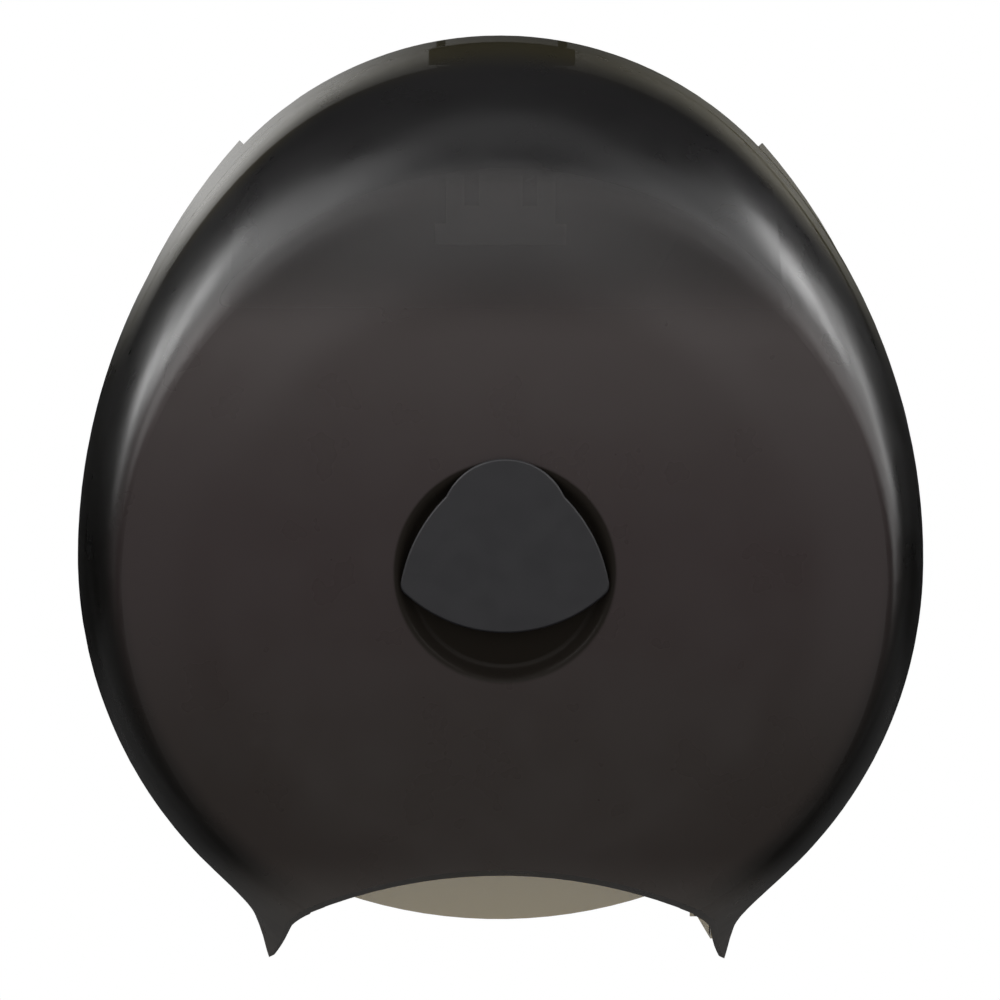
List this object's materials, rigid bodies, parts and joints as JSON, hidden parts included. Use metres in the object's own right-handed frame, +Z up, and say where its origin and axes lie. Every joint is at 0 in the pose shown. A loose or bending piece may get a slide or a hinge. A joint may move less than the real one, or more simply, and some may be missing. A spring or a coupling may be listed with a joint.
{
  "type": "jumbo toilet roll dispenser",
  "caption": "Wall-mounted egg-shaped smoked plastic dispenser for a jumbo toilet roll, with a hinged domed cover, a turning core spindle and a key-operated slide latch.",
  "frame": {"origin": "on the wall face of the back plate, at the axis of the roll spindle", "axes": "+Z up, -Y out of the wall towards the user, +X to the right as seen from the front"},
  "size_m": [0.346, 0.1479, 0.3815],
  "materials": {
    "smoked_cover": "smoke grey see-through resin, moulded, satin gloss",
    "smoked_plate": "smoke grey see-through resin, moulded, fine matt back",
    "cap_plastic": "dark blue grey, fine matt grain",
    "black_plastic": "black, satin moulded",
    "latch_plastic": "light grey, satin moulded",
    "white_acetal": "natural white, smooth",
    "zinc_steel": "bright zinc plated",
    "pin_steel": "turned, bright",
    "spring_steel": "drawn wire, oiled"
  },
  "bodies": {
    "plate": {"back_plate": "smoked_plate", "spindle_post": "black_plastic", "spindle_post_screws": "zinc_steel", "hub_washer": "zinc_steel", "hub_screw": "zinc_steel", "latch_guide_left": "black_plastic", "latch_guide_right": "black_plastic", "latch_guide_screws": "zinc_steel", "latch_spring_left": "spring_steel", "latch_spring_right": "spring_steel", "hinge_bush_left": "white_acetal", "hinge_bush_right": "white_acetal"},
    "cover": {"cover": "smoked_cover", "cover_hub_cap": "cap_plastic", "hinge_pin_left": "pin_steel", "hinge_pin_right": "pin_steel"},
    "latch": {"latch_slide": "latch_plastic"},
    "hub": {"spindle_hub": "black_plastic", "hub_flange": "black_plastic", "hub_nose": "black_plastic", "hub_bush_rear": "white_acetal", "hub_bush_front": "white_acetal"}
  },
  "joints": [
    {"name": "cover_hinge", "type": "hinge", "parent": "plate", "child": "cover", "pos_m": [0, -0.022, -0.154], "axis": [1, 0, 0], "range_deg": [0, 95]},
    {"name": "latch_slide", "type": "slide", "parent": "plate", "child": "latch", "axis": [0, 0, 1], "range_m": [0, 0.004], "stiffness_N_per_m": 300, "springref_m": 0.0055, "deforming": ["latch_spring_left", "latch_spring_right"]},
    {"name": "hub_spin", "type": "hinge", "parent": "plate", "child": "hub", "pos_m": [0, -0.055, 0], "axis": [0, 1, 0], "continuous": true}
  ]
}
